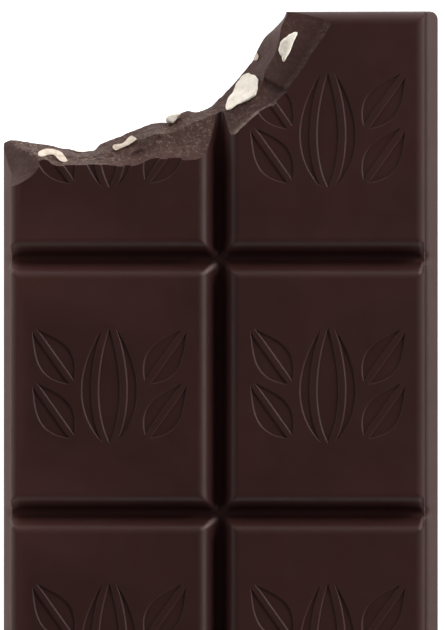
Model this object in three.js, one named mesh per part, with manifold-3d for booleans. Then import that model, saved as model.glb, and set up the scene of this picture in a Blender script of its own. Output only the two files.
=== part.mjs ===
// A moulded bar of dark nut chocolate with one corner bitten off, lying flat with its squares up.
// Millimetres, +Z up. +Y runs along the bar towards the bitten end, and the origin lies on the
// underside, at the middle of the whole bar.
import * as THREE from 'three';
import { mergeVertices } from 'three/addons/utils/BufferGeometryUtils.js';
import Module from 'manifold-3d';

const wasm = await Module();
wasm.setup();

// ---------- driving dimensions: the moulded bar ----------
const COLUMNS = 2;
const ROWS = 4;
const SQUARE_WIDTH = 27.3; // top face of one square, across the bar
const SQUARE_LENGTH = 32.55; // and along it
const GROOVE_WIDTH = 4.2; // at the top, between two squares
const SIDE_MARGIN = 2.1; // from the long edge of the bar to the first square
const END_MARGIN = 0.95; // from the short edge of the bar to the first square
const THICKNESS = 6;
const GROOVE_FLOOR = 2.6; // height of the floor of the grooves
const GROOVE_FLOOR_WIDTH = 0.9;
const RIM_HEIGHT = 0.35; // upright rim round the underside
const SHOULDER_HEIGHT = 2.5; // where the sloping slab edge meets the squares
const SIDE_SHOULDER = 1.5; // how far in the shoulder lies, on the long sides
const END_SHOULDER = 0.45; // and on the short ends
const TOP_EDGE_RADIUS = 0.9; // rounding of the squares' top edges
const BAR_CORNER_RADIUS = 1.2; // of the bar's outline
const CORNER_POWER = 5; // how sharp the squares' upright corners are
const ARC_STEPS = 3; // facets round each rounding

const PITCH_X = SQUARE_WIDTH + GROOVE_WIDTH;
const PITCH_Y = SQUARE_LENGTH + GROOVE_WIDTH;
const BAR_WIDTH = COLUMNS * PITCH_X - GROOVE_WIDTH + 2 * SIDE_MARGIN;
const BAR_LENGTH = ROWS * PITCH_Y - GROOVE_WIDTH + 2 * END_MARGIN;

// ---------- driving dimensions: the pod and leaves sunk into each square ----------
const MOTIF_DEPTH = 0.25;
const POD_LENGTH = 17.6;
const POD_WIDTH = 8.6;
const POD_LOBES = 3;
const POD_RIB = 0.75; // raised rib left between two lobes
const POD_TIP = 0.3; // how much the pod narrows towards its tip
const POD_FULLNESS = 0.62; // below 1 fills out the pod's ends
const POD_BALANCE = 0.35; // share of the length at which the pod has its plain width
const POD_POINT = 1; // length of the point at each end of a lobe
const LEAF_LENGTH = 9.6;
const LEAF_WIDTH = 4.6;
const LEAF_RIB = 0.6; // raised midrib
const LEAF_BALANCE = 0.8; // below 1 brings a leaf's widest place nearer its stalk
const LEAF_SPREAD = 5.4; // leaf stalks from the pod's middle line
const LEAF_TURN = 0.62; // radians, outwards from the bar's length
const LEAF_LIFT = [-7.6, 0.2]; // heights of the two pairs of stalks on the pod
const CURVE_STEPS = 5; // straight stretches along one side of a leaf, and half of a lobe's
const STAMP_CLEARANCE = 1; // the stamps reach this far above the squares

// ---------- driving dimensions: the bite ----------
// Ribs across the break, from the long side round to the short end. Each holds the foot of the
// break on the underside (x, y), its rim on the top face (x, y), where the ridge between its steep
// lower face and its flatter upper face lies (the share of the way in, and of the height), and how
// far its upper face dishes in, where a number below 0 makes it bulge.
const RIBS = [
  [-33, 46.9, -30.3, 46.5, 0.5, 0.5, -0.2],
  [-32.4, 49.8, -27.3, 48.2, 0.5, 0.5, -0.2],
  [-31.9, 52.7, -26.1, 49.4, 0.5, 0.5, -0.15],
  [-30.9, 53.7, -25.6, 50.5, 0.48, 0.56, 0.2],
  [-28.5, 53.6, -24.6, 50.6, 0.45, 0.55, 0.35],
  [-25.9, 53.2, -23.3, 49.9, 0.45, 0.55, 0.35],
  [-19.2, 52.2, -18.5, 50.1, 0.45, 0.55, 0.35],
  [-17.3, 53.2, -16.6, 50, 0.45, 0.55, 0.35],
  [-14.9, 54.2, -14.8, 49.8, 0.4, 0.5, 0.35],
  [-12, 55.4, -12.2, 49.9, 0.35, 0.5, 0.35],
  [-9.6, 56.3, -9.6, 50.8, 0.35, 0.66, 0.35],
  [-7.2, 56.5, -6.6, 50.8, 0.31, 0.62, 0.35],
  [-5.1, 58, -4.2, 50.7, 0.32, 0.56, 0.35],
  [-3, 58, -2.1, 51.1, 0.21, 0.5, 0.35],
  [-0.9, 59.1, 0.5, 52.5, 0.25, 0.45, 0.35],
  [1.8, 61.8, 4.8, 56.7, 0.55, 0.7, 0.3],
  [3.6, 64.1, 7.4, 58.3, 0.55, 0.72, 0.1],
  [4.7, 65.4, 10.2, 61.3, 0.38, 0.7, -0.15],
  [5.4, 66.9, 12.3, 64.2, 0.38, 0.76, -0.22],
  [6.3, 68.5, 13.8, 66.5, 0.32, 0.8, -0.25],
  [7.9, 70, 15.5, 69.1, 0.14, 0.76, -0.25],
  [9.3, 71.7, 16.9, 71.4, 0.06, 0.74, -0.25],
  [9.9, 74.1, 18.2, 73.8, 0.06, 0.74, -0.25],
];
const RIB_STEPS = 4; // strips between two ribs
const LOWER_STEPS = 4; // strips up the steep lower face of the break
const UPPER_STEPS = 6; // and across its upper face
const CRAG_HEIGHT = 0.18; // relief of the broken chocolate
const CRAG_SIZE = 1.9;
const CRAG_SEED = 4.7;
const HASH_STEPS = [127.1, 311.7, 74.7]; // spread the lattice points of the crags' noise
const HASH_SCALE = 43758.5453;
const SLOPE_STEP = 0.02; // in ribs, over which the break's slope is measured
const BITE_CLEARANCE = 10; // the bite's tool reaches this far past the bar

// ---------- driving dimensions: the pieces of nut in the break ----------
// Each has its place on the bar and, round that, the control points of its outline seen from
// above, anticlockwise. Then come the lowest and highest point of the whole piece, and how far its
// bitten face stands proud of the break.
const NUTS = [
  {
    name: 'nut_chunk', at: [3.4, 60.8], low: 0.5, high: 5, proud: 0.3,
    outline: [
      [0, 2.8], [-0.95, 1.7], [-1.55, 0.1], [-2.4, -1.5], [-2.2, -2.75], [-0.7, -2.15],
      [1.7, -1], [2.3, 0.6], [1.9, 2.15],
    ],
  },
  {
    name: 'nut_leaf', at: [10, 67], low: 2.6, high: 5.7, proud: 0.4,
    outline: [
      [1, 2.35], [-0.7, 1.25], [-1.35, -0.2], [-1.1, -1.3], [-0.7, -2.3], [-0.2, -1.65],
      [0.55, -0.45], [0.95, 0.75], [1.5, 2.1],
    ],
  },
  {
    name: 'nut_crescent', at: [-24.2, 52], low: 1.4, high: 5.2, proud: 0.12,
    outline: [
      [0, 0.6], [-1.3, 0.5], [-2.05, -0.4], [-1.6, -0.85], [-0.8, -0.5], [0.2, -0.45],
      [1.2, -1.3], [2.2, -1.8], [2.3, -1.3], [1.4, -0.15],
    ],
  },
  {
    name: 'nut_slice', at: [-13.7, 53.2], low: 0.8, high: 4.4, proud: 0.25,
    outline: [[-0.3, 0.1], [-1.7, -0.2], [-1.35, -1], [-0.5, -0.65], [0.6, -0.15], [1.7, 0.65], [0.75, 1.15]],
  },
  {
    name: 'nut_edge', at: [-7.15, 56.85], low: 0.3, high: 2, proud: 2,
    outline: [
      [-0.25, 0.5], [-0.75, 0], [-0.55, -0.5], [0.25, -0.7], [0.8, -0.05], [1.45, 0.8], [0.6, 0.72],
    ],
  },
  {
    name: 'nut_sliver', at: [-19.8, 52.55], low: 0.2, high: 1.4, proud: 0.15,
    outline: [[-0.4, 0.5], [-1.8, 0.1], [-1.1, -0.4], [0.2, -0.45], [1.6, 0], [1.9, 0.6], [1.1, 0.55]],
  },
  {
    name: 'nut_crumb', at: [5.15, 65.75], low: 0.1, high: 2.4, proud: 0.1,
    outline: [[0.15, 0.6], [-0.3, 0.2], [-0.4, -0.35], [0.15, -0.5], [0.4, 0.1]],
  },
];
const NUT_GAP = 0.3; // between a nut and the chocolate round it
const NUT_SQUARENESS = 4; // power of the superellipse up and down
const NUT_ROUND_STEPS = 18;
const NUT_RISE_STEPS = 6;

const CHOCOLATE = new THREE.MeshStandardMaterial({ color: 0x33211e, roughness: 0.42, metalness: 0 });
const NUT = new THREE.MeshStandardMaterial({ color: 0xe2d6c4, roughness: 0.7, metalness: 0 });

// ---------- solids from meshes and back ----------
function solidFrom(geometry) {
  geometry.deleteAttribute('normal');
  geometry.deleteAttribute('uv');
  const merged = mergeVertices(geometry, 1e-5);
  return new wasm.Manifold(new wasm.Mesh({
    numProp: 3,
    vertProperties: new Float32Array(merged.attributes.position.array),
    triVerts: new Uint32Array(merged.index.array),
  }));
}

function geometryFrom(solid) {
  const mesh = solid.getMesh();
  const geometry = new THREE.BufferGeometry();
  geometry.setAttribute('position', new THREE.BufferAttribute(new Float32Array(mesh.vertProperties), 3));
  geometry.setIndex(new THREE.BufferAttribute(new Uint32Array(mesh.triVerts), 1));
  geometry.computeVertexNormals();
  return geometry;
}

function indexedSolid(points, triangles) {
  const geometry = new THREE.BufferGeometry();
  geometry.setAttribute('position', new THREE.Float32BufferAttribute(points.flat(), 3));
  geometry.setIndex(triangles.flat());
  return solidFrom(geometry);
}

// A closed solid swept through a row of closed rings with the same number of points, which turn
// anticlockwise seen from the last ring. Flat caps close the two ends.
function ringSolid(rings) {
  const count = rings[0].length;
  const points = rings.flat();
  const triangles = [];
  for (let r = 0; r + 1 < rings.length; r += 1) {
    for (let i = 0; i < count; i += 1) {
      const a = r * count + i;
      const b = r * count + ((i + 1) % count);
      triangles.push([a, b, b + count], [a, b + count, a + count]);
    }
  }
  const last = (rings.length - 1) * count;
  for (let i = 1; i + 1 < count; i += 1) {
    triangles.push([0, i + 1, i], [last, last + i, last + i + 1]);
  }
  return indexedSolid(points, triangles);
}

// An upright prism on an outline of THREE.Vector2 points.
function prism(outline, bottom, top) {
  const shape = new THREE.Shape(outline);
  const geometry = new THREE.ExtrudeGeometry(shape, { depth: top - bottom, bevelEnabled: false });
  geometry.translate(0, 0, bottom);
  return solidFrom(geometry);
}

// ---------- the moulded bar ----------
// A section line through corner points [along, height, radius]. A corner with a radius is rounded.
function roundedLine(corners) {
  const line = [];
  corners.forEach(([x, z, radius], i) => {
    const here = new THREE.Vector2(x, z);
    if (!radius) {
      line.push(here);
      return;
    }
    const back = new THREE.Vector2(corners[i - 1][0], corners[i - 1][1]).sub(here).normalize();
    const on = new THREE.Vector2(corners[i + 1][0], corners[i + 1][1]).sub(here).normalize();
    const half = Math.acos(THREE.MathUtils.clamp(back.dot(on), -1, 1)) / 2;
    const centre = back.clone().add(on).normalize().multiplyScalar(radius / Math.sin(half)).add(here);
    const from = back.clone().multiplyScalar(radius / Math.tan(half)).add(here).sub(centre);
    const to = on.clone().multiplyScalar(radius / Math.tan(half)).add(here).sub(centre);
    for (let s = 0; s <= ARC_STEPS; s += 1) {
      const sweep = Math.PI - 2 * half;
      const turn = Math.sign(from.cross(to)) * sweep * (s / ARC_STEPS);
      line.push(from.clone().rotateAround(new THREE.Vector2(), turn).add(centre));
    }
  });
  return line;
}

// The section across a run of squares: a sloping slab edge, then squares with grooves between them.
function squaresSection(count, square, margin, shoulder) {
  const half = (count * square + (count - 1) * GROOVE_WIDTH) / 2 + margin;
  const wallRun = (GROOVE_WIDTH - GROOVE_FLOOR_WIDTH) / 2;
  const corners = [[-half, RIM_HEIGHT, 0], [-half + shoulder, SHOULDER_HEIGHT, 0]];
  for (let i = 0; i < count; i += 1) {
    const start = -half + margin + i * (square + GROOVE_WIDTH);
    corners.push([start, THICKNESS, TOP_EDGE_RADIUS], [start + square, THICKNESS, TOP_EDGE_RADIUS]);
    if (i + 1 < count) {
      const groove = start + square + wallRun;
      corners.push([groove, GROOVE_FLOOR, 0], [groove + GROOVE_FLOOR_WIDTH, GROOVE_FLOOR, 0]);
    }
  }
  corners.push([half - shoulder, SHOULDER_HEIGHT, 0], [half, RIM_HEIGHT, 0]);
  return roundedLine(corners);
}

// Height where two sections cross: the deeper one wins, and their meeting is slightly rounded.
function crossedHeight(a, b) {
  const deepA = THICKNESS - a;
  const deepB = THICKNESS - b;
  const deeper = Math.max(deepA, deepB);
  const blended = (deepA ** CORNER_POWER + deepB ** CORNER_POWER) ** (1 / CORNER_POWER);
  const depth = Math.max(deeper, Math.min(blended, THICKNESS - GROOVE_FLOOR));
  return THICKNESS - depth;
}

function mouldedSlab() {
  const across = squaresSection(COLUMNS, SQUARE_WIDTH, SIDE_MARGIN, SIDE_SHOULDER);
  const along = squaresSection(ROWS, SQUARE_LENGTH, END_MARGIN, END_SHOULDER);
  const nx = across.length;
  const ny = along.length;
  const points = [];
  for (const { x: y, y: b } of along) {
    for (const { x, y: a } of across) points.push([x, y, crossedHeight(a, b)]);
  }
  const triangles = [];
  for (let j = 0; j + 1 < ny; j += 1) {
    for (let i = 0; i + 1 < nx; i += 1) {
      const p = j * nx + i;
      const midA = (across[i].y + across[i + 1].y) / 2;
      const midB = (along[j].y + along[j + 1].y) / 2;
      const middle = crossedHeight(midA, midB);
      const rising = Math.abs((points[p][2] + points[p + nx + 1][2]) / 2 - middle);
      const falling = Math.abs((points[p + 1][2] + points[p + nx][2]) / 2 - middle);
      if (rising <= falling) triangles.push([p, p + 1, p + nx + 1], [p, p + nx + 1, p + nx]);
      else triangles.push([p, p + 1, p + nx], [p + 1, p + nx + 1, p + nx]);
    }
  }
  const border = [];
  for (let i = 0; i < nx; i += 1) border.push(i);
  for (let j = 1; j < ny; j += 1) border.push(j * nx + nx - 1);
  for (let i = nx - 2; i >= 0; i -= 1) border.push((ny - 1) * nx + i);
  for (let j = ny - 2; j > 0; j -= 1) border.push(j * nx);
  const foot = points.length;
  border.forEach((p) => points.push([points[p][0], points[p][1], 0]));
  const centre = points.push([0, 0, 0]) - 1;
  border.forEach((p, i) => {
    const next = (i + 1) % border.length;
    triangles.push([p, foot + i, foot + next], [p, foot + next, border[next]]);
    triangles.push([centre, foot + next, foot + i]);
  });
  return indexedSolid(points, triangles);
}

function roundedOutline(width, length, radius) {
  const outline = new THREE.Shape();
  const x = width / 2;
  const y = length / 2;
  outline.moveTo(-x + radius, -y);
  outline.lineTo(x - radius, -y).absarc(x - radius, -y + radius, radius, -Math.PI / 2, 0);
  outline.lineTo(x, y - radius).absarc(x - radius, y - radius, radius, 0, Math.PI / 2);
  outline.lineTo(-x + radius, y).absarc(-x + radius, y - radius, radius, Math.PI / 2, Math.PI);
  outline.lineTo(-x, -y + radius).absarc(-x + radius, -y + radius, radius, Math.PI, Math.PI * 1.5);
  return outline.getPoints(ARC_STEPS + 1);
}

// ---------- the motif: a pod with ribs between two pairs of leaves ----------
// Half the pod's width at t from 0 at the stalk to 1 at the tip.
function podHalfWidth(t) {
  const taper = 1 - POD_TIP * (t - POD_BALANCE);
  return (POD_WIDTH / 2) * Math.sin(Math.PI * t) ** POD_FULLNESS * taper;
}

// One lobe lies between two meridians of the pod, drawn in by half a rib on each side. It ends in
// a point where the ribs on its two sides meet.
function podLobe(index) {
  const steps = CURVE_STEPS * 2;
  const meridian = (k, t) => podHalfWidth(t) * Math.sin((k / POD_LOBES - 0.5) * Math.PI);
  const left = [];
  const right = [];
  const middle = [];
  for (let s = 1; s < steps; s += 1) {
    const t = s / steps;
    const y = (t - 0.5) * POD_LENGTH;
    const from = meridian(index, t) + (index === 0 ? 0 : POD_RIB / 2);
    const to = meridian(index + 1, t) - (index + 1 === POD_LOBES ? 0 : POD_RIB / 2);
    left.push(new THREE.Vector2(from, y));
    right.push(new THREE.Vector2(to, y));
    middle.push(new THREE.Vector2((from + to) / 2, y));
  }
  const open = left.map((p, i) => right[i].x - p.x > POD_RIB);
  const first = open.indexOf(true);
  const last = open.lastIndexOf(true);
  const tip = (i, step) => middle[i].clone().add(new THREE.Vector2(0, step * POD_POINT));
  const up = right.slice(first, last + 1);
  const down = left.slice(first, last + 1).reverse();
  return [tip(first, -1), ...up, tip(last, 1), ...down];
}

// Half a leaf, on one side of its midrib, which runs out from the stalk along +Y before turning.
function halfLeaf(stalkX, stalkY, turn, side) {
  const points = [];
  for (let s = 0; s <= CURVE_STEPS; s += 1) {
    const t = s / CURVE_STEPS;
    const bulge = (LEAF_WIDTH / 2) * Math.sin(Math.PI * t ** LEAF_BALANCE);
    points.push(new THREE.Vector2(side * (LEAF_RIB / 2 + bulge), t * LEAF_LENGTH));
  }
  if (side < 0) points.reverse();
  return points.map((p) => p.rotateAround(new THREE.Vector2(), turn).add(new THREE.Vector2(stalkX, stalkY)));
}

function motifOutlines() {
  const outlines = [];
  for (let lobe = 0; lobe < POD_LOBES; lobe += 1) outlines.push(podLobe(lobe));
  for (const side of [-1, 1]) {
    for (const lift of LEAF_LIFT) {
      for (const half of [-1, 1]) {
        outlines.push(halfLeaf(side * LEAF_SPREAD, lift, -side * LEAF_TURN, half));
      }
    }
  }
  return outlines;
}

function motifStamps() {
  const outlines = motifOutlines();
  const stamps = [];
  for (let row = 0; row < ROWS; row += 1) {
    for (let column = 0; column < COLUMNS; column += 1) {
      const place = new THREE.Vector2(
        (column - (COLUMNS - 1) / 2) * PITCH_X,
        (row - (ROWS - 1) / 2) * PITCH_Y,
      );
      for (const outline of outlines) {
        const moved = outline.map((p) => p.clone().add(place));
        stamps.push(prism(moved, THICKNESS - MOTIF_DEPTH, THICKNESS + STAMP_CLEARANCE));
      }
    }
  }
  return stamps;
}

// ---------- the bite ----------
// Seeded lattice noise from -1 to 1, smooth between whole-number points.
function noise(x, y, z) {
  const cell = [x, y, z].map(Math.floor);
  const part = [x, y, z].map((v, i) => v - cell[i]).map((f) => f * f * (3 - 2 * f));
  const corner = (...step) => {
    const phase = step.reduce((sum, v, i) => sum + (cell[i] + v) * HASH_STEPS[i], CRAG_SEED);
    const value = Math.sin(phase) * HASH_SCALE;
    return 2 * (value - Math.floor(value)) - 1;
  };
  const mix = THREE.MathUtils.lerp;
  const row = (j, k) => mix(corner(0, j, k), corner(1, j, k), part[0]);
  const layer = (k) => mix(row(0, k), row(1, k), part[1]);
  return mix(layer(0), layer(1), part[2]);
}

function cragRelief({ x, y, z }) {
  return CRAG_HEIGHT * noise(x / CRAG_SIZE, y / CRAG_SIZE, z / CRAG_SIZE);
}

// The ribs' six numbers anywhere along the break, on a smooth curve through them.
function ribAt(s) {
  const last = RIBS.length - 1;
  const i = Math.min(Math.floor(s), last - 1);
  const t = s - i;
  const [a, b, c, d] = [i - 1, i, i + 1, i + 2].map((k) => RIBS[THREE.MathUtils.clamp(k, 0, last)]);
  return b.map((value, n) => {
    const tangentB = (c[n] - a[n]) / 2;
    const tangentC = (d[n] - b[n]) / 2;
    const rise = 3 * (c[n] - b[n]) - 2 * tangentB - tangentC;
    const settle = 2 * (b[n] - c[n]) + tangentB + tangentC;
    return value + tangentB * t + rise * t * t + settle * t * t * t;
  });
}

// A point of the break: v runs from 0 at the foot to 1 at the ridge and 2 at the rim, and a little
// past both ends.
function breakPoint(s, v) {
  const [footX, footY, rimX, rimY, share, rise, hollow] = ribAt(s);
  const foot = new THREE.Vector3(footX, footY, 0);
  const rim = new THREE.Vector3(rimX, rimY, THICKNESS);
  const ridge = foot.clone().lerp(rim, share).setZ(THICKNESS * rise);
  if (v <= 1) return foot.lerp(ridge, v);
  const dish = hollow * 4 * (v - 1) * Math.max(0, 2 - v);
  const point = ridge.lerp(rim, v - 1);
  point.z -= dish;
  return point;
}

// The tool that takes the bite: the break's own surface, closed by walls well outside the bar. A
// positive offset moves its surface out of the chocolate.
function biteTool(offset) {
  const rings = [];
  const far = BAR_LENGTH / 2 + BITE_CLEARANCE;
  const steps = (RIBS.length - 1) * RIB_STEPS;
  const levels = [];
  for (let k = -1; k < LOWER_STEPS; k += 1) levels.push(k / LOWER_STEPS);
  for (let k = 0; k <= UPPER_STEPS + 1; k += 1) levels.push(1 + k / UPPER_STEPS);
  for (let i = 0; i <= steps; i += 1) {
    const s = i / RIB_STEPS;
    const ring = [];
    for (const v of levels) {
      const point = breakPoint(s, v);
      const along = breakPoint(s + SLOPE_STEP, v).sub(breakPoint(s - SLOPE_STEP, v));
      const up = breakPoint(s, v + SLOPE_STEP).sub(breakPoint(s, v - SLOPE_STEP));
      const outwards = up.cross(along).normalize();
      point.addScaledVector(outwards, offset + cragRelief(point));
      ring.push(point.toArray());
    }
    const [startX, startY, startZ] = ring[0];
    const [endX, endY] = ring[ring.length - 1];
    const roof = THICKNESS + BITE_CLEARANCE;
    ring.push([endX, endY, roof], [startX, far, roof], [startX, far, startZ - BITE_CLEARANCE]);
    ring.push([startX, startY, startZ - BITE_CLEARANCE]);
    rings.push(ring);
  }
  return ringSolid(rings.reverse());
}

// ---------- the pieces of nut ----------
// A lump, blunt at its top and bottom, on a smooth closed outline through the control points. It
// grows by the same width all round.
function nutLump({ at, low, high, outline }, grow) {
  const corners = outline.map(([x, y]) => new THREE.Vector3(x, y, 0));
  const curve = new THREE.CatmullRomCurve3(corners, true, 'catmullrom');
  const middle = (low + high) / 2;
  const reach = (high - low) / 2 + grow;
  const rings = [];
  for (let k = 1; k < NUT_RISE_STEPS; k += 1) {
    const rise = -Math.cos((Math.PI * k) / NUT_RISE_STEPS);
    const scale = (1 - Math.abs(rise) ** NUT_SQUARENESS) ** (1 / NUT_SQUARENESS);
    const ring = [];
    for (let i = 0; i < NUT_ROUND_STEPS; i += 1) {
      const along = curve.getTangentAt(i / NUT_ROUND_STEPS);
      const point = curve.getPointAt(i / NUT_ROUND_STEPS).multiplyScalar(scale);
      point.add(new THREE.Vector3(along.y * grow + at[0], -along.x * grow + at[1], middle + rise * reach));
      ring.push(point.toArray());
    }
    rings.push(ring);
  }
  return ringSolid(rings);
}

// ---------- the object ----------
const bite = biteTool(0);
const outline = roundedOutline(BAR_WIDTH, BAR_LENGTH, BAR_CORNER_RADIUS);
let chocolate = mouldedSlab().intersect(prism(outline, -BITE_CLEARANCE, THICKNESS + BITE_CLEARANCE));
for (const stamp of motifStamps()) chocolate = chocolate.subtract(stamp);
chocolate = chocolate.subtract(bite);
for (const nut of NUTS) chocolate = chocolate.subtract(nutLump(nut, NUT_GAP));

const bar = new THREE.Group();
bar.name = 'chocolate_bar_with_bite';

const moulded = new THREE.Mesh(geometryFrom(chocolate), CHOCOLATE);
moulded.name = 'chocolate';
bar.add(moulded);

for (const nut of NUTS) {
  const bitten = nutLump(nut, 0).subtract(biteTool(nut.proud));
  const piece = new THREE.Mesh(geometryFrom(bitten), NUT);
  piece.name = nut.name;
  bar.add(piece);
}

export default bar;
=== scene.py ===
"""A bar of dark nut chocolate with one corner bitten off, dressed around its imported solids.

The bar lies flat with its moulded squares up. Shapes are worked out in millimetres in the frame of
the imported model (+Y along the bar towards the bite, +Z up, origin under the middle of the bar) and
are put into their meshes in metres. Every shape is a surface of two parameters, computed as whole
arrays, and the closed solids are then joined and cut.
"""

from __future__ import annotations

import itertools
import logging
import math
from dataclasses import dataclass, field
from enum import Enum, IntEnum
from typing import Callable

import bpy
import numpy as np
from mathutils import Matrix, Vector
from mathutils.kdtree import KDTree

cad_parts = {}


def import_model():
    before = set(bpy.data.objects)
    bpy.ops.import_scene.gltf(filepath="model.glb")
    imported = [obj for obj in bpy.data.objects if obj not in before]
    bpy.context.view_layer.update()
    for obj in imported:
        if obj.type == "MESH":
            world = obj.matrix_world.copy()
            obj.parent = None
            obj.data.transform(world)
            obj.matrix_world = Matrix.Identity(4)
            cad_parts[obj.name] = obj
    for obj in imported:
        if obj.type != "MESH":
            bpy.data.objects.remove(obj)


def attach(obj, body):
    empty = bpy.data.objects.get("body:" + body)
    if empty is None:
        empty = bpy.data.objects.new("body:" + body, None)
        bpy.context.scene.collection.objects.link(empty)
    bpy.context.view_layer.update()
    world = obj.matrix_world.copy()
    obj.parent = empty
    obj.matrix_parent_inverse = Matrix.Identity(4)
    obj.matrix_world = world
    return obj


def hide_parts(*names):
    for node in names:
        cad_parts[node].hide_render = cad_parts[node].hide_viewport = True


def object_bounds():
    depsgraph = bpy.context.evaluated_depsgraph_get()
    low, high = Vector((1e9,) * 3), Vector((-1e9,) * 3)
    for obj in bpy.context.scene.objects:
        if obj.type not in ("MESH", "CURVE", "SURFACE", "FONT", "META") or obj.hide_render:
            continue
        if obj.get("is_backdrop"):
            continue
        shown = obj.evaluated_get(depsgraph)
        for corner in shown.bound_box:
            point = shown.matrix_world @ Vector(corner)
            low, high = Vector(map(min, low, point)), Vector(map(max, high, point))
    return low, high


LOG = logging.getLogger("nut_chocolate_bar")
MM = 0.001
SPARE = 1.0  # how far a tool reaches past what it cuts, in millimetres
FACE_WEIGHT = 80  # how much a large face turns the normals round it its own way, up to 100
HASH_STEPS = (127.1, 311.7, 74.7)  # spread the lattice points of the noise
HASH_SCALE = 43758.5453

# The columns of a rib of the break
FOOT, RIM, WAY_IN, WAY_UP, DISH = slice(0, 2), slice(2, 4), slice(4, 5), 5, 6

# Attributes of the chocolate's points, which its finishes read
# Among them are painted light along the slab edge, painted highlights at the groove corners, painted
# shade near the break's rim, and a pale rim that is partly a painted highlight
CRUSH, PAINTED_EDGE_LIGHT, PAINTED_HIGHLIGHT, PAINTED_RIM_SHADE, BURR_AND_HIGHLIGHT = "crush", "painted_edge_light", "painted_highlight", "painted_rim_shade", "burr_and_highlight"

Colour = tuple[float, float, float]
Corner = tuple[float, float, float]
Curve = Callable[[np.ndarray], np.ndarray]


class Slot(str, Enum):
    """The record's material slots."""

    CHOCOLATE = "dark_chocolate"
    NUT = "nut_flesh"


class Skin(IntEnum):
    """Which finish a face of the chocolate wears: its place among the piece's materials."""

    MOULDED = 0
    BROKEN = 1
    UNDERSIDE = 2
    WALL = 3


# ---- Meshes and solids ----


@dataclass
class Shell:
    """A closed surface in millimetres: points, and faces as lists of point numbers."""

    points: np.ndarray
    faces: list[list[int]]

    def moved(self, x: float, y: float) -> Shell:
        """Returns a copy shifted sideways by (x, y)."""
        return Shell(self.points + np.array([x, y, 0.0]), self.faces)


def joined(shells: list[Shell]) -> Shell:
    """Returns one shell that holds several separate ones."""
    points = np.concatenate([shell.points for shell in shells])
    starts = np.cumsum([0] + [len(shell.points) for shell in shells[:-1]])
    faces = [
        [int(start) + p for p in face]
        for start, shell in zip(starts, shells)
        for face in shell.faces
    ]
    return Shell(points, faces)


def ring_shell(rings: np.ndarray) -> Shell:
    """Closes a row of rings with the same number of points into a solid.

    Point i of ring r is joined to its neighbours in the ring and to point i of ring r + 1, and one
    face caps each end.

    Args:
        rings: points shaped (rings, points in a ring, 3), turning anticlockwise seen from the last.

    Returns:
        The closed shell.
    """
    rows, count, _ = rings.shape
    index = np.arange(rows * count).reshape(rows, count)
    after = np.roll(index, -1, axis=1)
    quads = np.stack([index[:-1], after[:-1], after[1:], index[1:]], axis=-1).reshape(-1, 4)
    caps = [index[0, ::-1].tolist(), index[-1].tolist()]
    return Shell(rings.reshape(-1, 3), quads.tolist() + caps)


def field_shell(x: np.ndarray, y: np.ndarray, z: np.ndarray, base: float) -> Shell:
    """Closes a height field down to a level base.

    Args:
        x: grid lines across, rising.
        y: grid lines along, rising.
        z: heights shaped (len(y), len(x)).
        base: the level that the upright walls run down to.

    Returns:
        The closed shell, with one face underneath.
    """
    rows, count = z.shape
    grid = np.stack([*np.meshgrid(x, y), z], axis=-1).reshape(-1, 3)
    index = np.arange(rows * count).reshape(rows, count)
    quads = np.stack([index[:-1, :-1], index[:-1, 1:], index[1:, 1:], index[1:, :-1]], axis=-1)
    border = np.concatenate([index[0, :-1], index[:-1, -1], index[-1, :0:-1], index[:0:-1, 0]])
    foot = grid[border] * [1, 1, 0] + [0, 0, base]
    low = len(grid) + np.arange(len(border))
    walls = np.stack([border, low, np.roll(low, -1), np.roll(border, -1)], axis=-1)
    faces = quads.reshape(-1, 4).tolist() + walls.tolist() + [low[::-1].tolist()]
    return Shell(np.concatenate([grid, foot]), faces)


def placed(name: str, data: bpy.types.ID) -> bpy.types.Object:
    """Returns a new object of a mesh, light or camera, linked into the scene."""
    thing = bpy.data.objects.new(name, data)
    bpy.context.scene.collection.objects.link(thing)
    return thing


def read(items: bpy.types.bpy_prop_collection, name: str, kind: type) -> np.ndarray:
    """Returns one number of every item of a mesh, such as each edge's mark."""
    values = np.zeros(len(items), kind)
    items.foreach_get(name, values)
    return values


def read_vectors(items: bpy.types.bpy_prop_collection, name: str) -> np.ndarray:
    """Returns one vector of every item of a mesh, shaped (n, 3)."""
    values = np.zeros(len(items) * 3)
    items.foreach_get(name, values)
    return values.reshape(-1, 3)


def apply_modifiers(piece: bpy.types.Object) -> None:
    """Replaces a piece's mesh by what its modifiers make of it."""
    graph = bpy.context.evaluated_depsgraph_get()
    before = piece.data
    piece.data = bpy.data.meshes.new_from_object(piece.evaluated_get(graph))
    piece.modifiers.clear()
    bpy.data.meshes.remove(before)


class Carver:
    """Cuts a closed shell with the Boolean modifier, applied at once."""

    def __init__(self, name: str, start: Shell, skins: int = 1, skin: int = 0) -> None:
        """Starts a solid.

        Args:
            name: the name of the piece.
            start: the shell that it starts from.
            skins: how many materials the piece will have.
            skin: the material that the first shell's faces wear.
        """
        self.name = name
        self.slots = [bpy.data.materials.new(f"{name}_slot_{i}") for i in range(skins)]
        self.piece = self._object(start, skin)

    def _object(self, shell: Shell, skin: int) -> bpy.types.Object:
        """Returns a scene object of a shell whose faces all wear one skin."""
        mesh = bpy.data.meshes.new(self.name)
        mesh.from_pydata((shell.points * MM).tolist(), [], shell.faces)
        mesh.update()
        for slot in self.slots:
            mesh.materials.append(slot)
        mesh.polygons.foreach_set("material_index", np.full(len(mesh.polygons), skin, np.int32))
        return placed(self.name, mesh)

    def carve(self, operation: str, shell: Shell, skin: int = 0) -> None:
        """Applies one Boolean to the solid.

        Args:
            operation: DIFFERENCE or INTERSECT.
            shell: the tool.
            skin: the material of the faces that the tool leaves.
        """
        tool = self._object(shell, skin)
        modifier = self.piece.modifiers.new("carve", "BOOLEAN")
        modifier.operation = operation
        modifier.solver = "MANIFOLD"
        modifier.material_mode = "INDEX"
        modifier.object = tool
        apply_modifiers(self.piece)
        bpy.data.meshes.remove(tool.data)


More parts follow.
